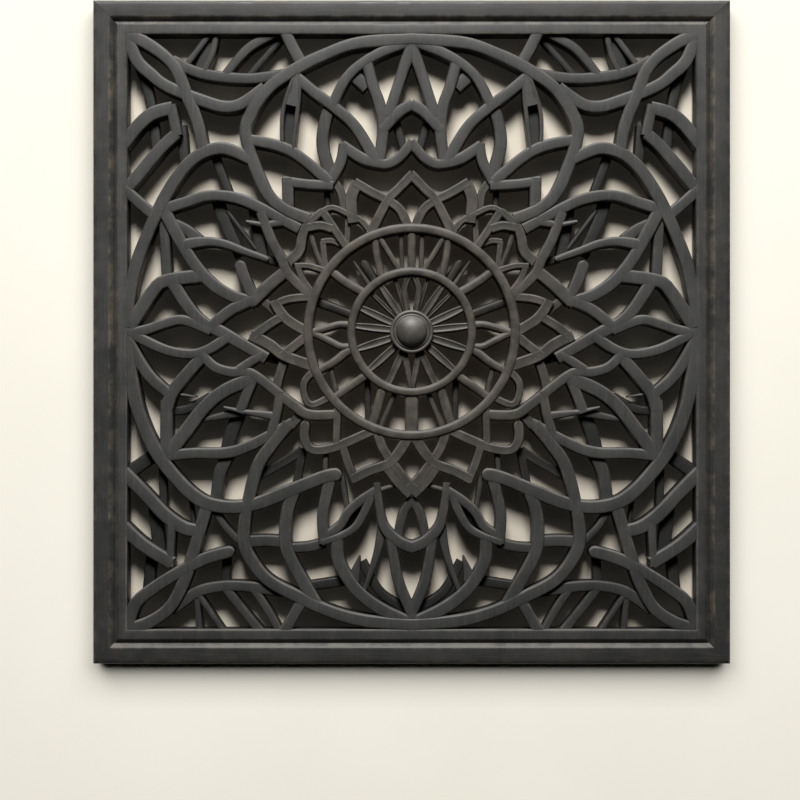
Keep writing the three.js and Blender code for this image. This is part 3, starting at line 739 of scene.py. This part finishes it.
def wall_paint(name, low, high):
    """Cream plaster, seen from the front alone, so that the back of the screen shows from behind."""
    material = bpy.data.materials.new(name)
    n = Nodes(material)
    coords = n.add("ShaderNodeTexCoord").outputs["Object"]
    plaster = n.noise(coords, 3, 5, 0.6)
    colour = n.mix(n.ramp(plaster, 0.3, 0.7), low, high)
    n.tree.links.new(colour, n.shader.inputs["Base Color"])
    n.shader.inputs["Roughness"].default_value = 0.9
    n.shader.inputs["Specular IOR Level"].default_value = 0.1
    clear = n.add("ShaderNodeBsdfTransparent")
    behind = n.add("ShaderNodeNewGeometry").outputs["Backfacing"]
    both = n.add("ShaderNodeMixShader", {0: behind, 1: n.shader.outputs[0], 2: clear.outputs[0]})
    n.tree.links.new(both.outputs[0], n.tree.nodes["Material Output"].inputs["Surface"])
    return material


def area_light(name, place, target, size, power, colour):
    data = bpy.data.lights.new(name, "AREA")
    data.shape = "RECTANGLE"
    data.size, data.size_y = size
    data.energy = power
    data.color = colour
    lamp = bpy.data.objects.new(name, data)
    lamp.location = place
    lamp.rotation_euler = (Vector(target) - Vector(place)).to_track_quat("-Z", "Y").to_euler()
    bpy.context.scene.collection.objects.link(lamp)
    return lamp


def lights_only(lamp, thing, leave_out=False):
    """Lets a lamp light one thing alone, or everything but that thing."""
    group = bpy.data.collections.new(lamp.name + "_receivers")
    group.objects.link(thing)
    group.collection_objects[0].light_linking.link_state = "EXCLUDE" if leave_out else "INCLUDE"
    lamp.light_linking.receiver_collection = group


def wall_piece(name, corners, faces, paint):
    mesh = bpy.data.meshes.new(name)
    mesh.from_pydata([(x, WALL_BACK, z) for x, z in corners], [], faces)
    piece = add_object(name, mesh)
    mesh.materials.append(paint)
    piece.visible_shadow = False
    return piece


panel = joined("carved_screen", panel_shells())
panel.data.materials.append(painted_wood("carved_paint", "z", 0.55, 0.75, True))
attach(panel, "root")
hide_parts("carved_panel")

# Frame members: node, quarter turns from the top, length, and the screen's size across it
MEMBERS = [
    ("frame_rail_top", 0, PANEL_WIDTH, PANEL_HEIGHT),
    ("frame_stile_left", 1, PANEL_HEIGHT, PANEL_WIDTH),
    ("frame_rail_bottom", 2, PANEL_WIDTH, PANEL_HEIGHT),
    ("frame_stile_right", 3, PANEL_HEIGHT, PANEL_WIDTH),
]
for node, turn, length, span in MEMBERS:
    member = add_object(node + "_worn", mesh_of(node + "_worn", [rail_shell(length, span, turn)], 35))
    grain = "z" if turn % 2 else "x"
    member.data.materials.append(painted_wood(node + "_paint", grain, 0.8, shade=0.74))
    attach(member, "root")
    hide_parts(node)

knob = add_object("turned_boss", mesh_of("turned_boss", [boss_shell()], 50))
knob.data.materials.append(painted_wood("boss_paint", "z", 0.5, 0.6, shine=0.6))
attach(knob, "root")
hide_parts("centre_boss")

CENTRE = Vector((0, 0, -HANGING_LINE / 1000))

# The wall is in two pieces that meet behind the frame, in from its edge by the tuck, so that the wall
# around it can be lit more softly. The piece behind the screen is painted darker and browner: painted
# shade in the openings.
WALL_BACK = 0.0006
CREAM = wall_paint("cream_wall", (0.80, 0.770, 0.685), (0.83, 0.800, 0.715))
# Painted shade: the darker, browner cream of the wall seen through the openings
PAINTED_SHADE_WALL = wall_paint("painted_shade_wall", (0.56, 0.51, 0.43), (0.60, 0.55, 0.465))
WALL_TUCK = 0.012
far = [(-3, -2.4), (3, -2.4), (3, 2), (-3, 2)]
half_x, half_z = PANEL_WIDTH / 2000 - WALL_TUCK, PANEL_HEIGHT / 2000 - WALL_TUCK
near = [(sx * half_x, CENTRE.z + sz * half_z) for sx, sz in ((-1, -1), (1, -1), (1, 1), (-1, 1))]
between = [(i, (i + 1) % 4, 4 + (i + 1) % 4, 4 + i) for i in range(4)]
wall_piece("wall_behind", near, [(0, 1, 2, 3)], PAINTED_SHADE_WALL)
wall_around = wall_piece("wall_around", far + near, between, CREAM)


def in_front(distance, rise, turn=0.0):
    """A place in front of the screen: distance, rise and turn to the right, both in degrees."""
    e, a = math.radians(rise), math.radians(turn)
    way = Vector((math.sin(a) * math.cos(e), -math.cos(a) * math.cos(e), math.sin(e)))
    return CENTRE + distance * way


# Key and fill light all but the wall around the frame, which has the soft lamp to itself
LAMP_WHITE = (1, 0.99, 0.97)
SOFT_WHITE = (1, 0.995, 0.98)
key = area_light("key", in_front(2.3, 48, -3), CENTRE, (0.8, 0.7), 92, LAMP_WHITE)
lights_only(key, wall_around, leave_out=True)
fill = area_light("fill", in_front(2.2, 20), CENTRE, (1.6, 1.6), 0.8, LAMP_WHITE)
lights_only(fill, wall_around, leave_out=True)
soft = area_light("soft", in_front(3.4, 37), CENTRE, (5.2, 3.1), 262, SOFT_WHITE)
lights_only(soft, wall_around)

# A lamp from behind, through the wall, for the views from behind
back_light = bpy.data.lights.new("back", "SUN")
back_light.energy = 2.2
back_light.angle = 0.0
back_lamp = bpy.data.objects.new("back", back_light)
back_lamp.rotation_euler = (math.radians(-90), 0, 0)
back_lamp.visible_glossy = False
bpy.context.scene.collection.objects.link(back_lamp)

world = bpy.data.worlds.new("studio")
world.use_nodes = True
world.node_tree.nodes["Background"].inputs["Color"].default_value = (0.82, 0.80, 0.75, 1)
world.cycles_visibility.diffuse = False
world.cycles_visibility.glossy = False
bpy.context.scene.world = world

# The camera's distance from the frame's front, the width seen there, and its place off the centre
VIEW_DISTANCE = 1.35
FRAME_WIDTH = 0.752
VIEW_X, VIEW_DROP = -0.011, 0.0641
SENSOR = 36
camera_data = bpy.data.cameras.new("camera")
camera_data.sensor_width = SENSOR
camera_data.lens = SENSOR * VIEW_DISTANCE / FRAME_WIDTH
camera = bpy.data.objects.new("camera", camera_data)
camera.location = (VIEW_X, -VIEW_DISTANCE - RAIL_HEIGHT / 1000, CENTRE.z - VIEW_DROP)
camera.rotation_euler = (math.radians(90), 0, 0)
bpy.context.scene.collection.objects.link(camera)
bpy.context.scene.camera = camera
bpy.context.scene.view_settings.view_transform = "Standard"
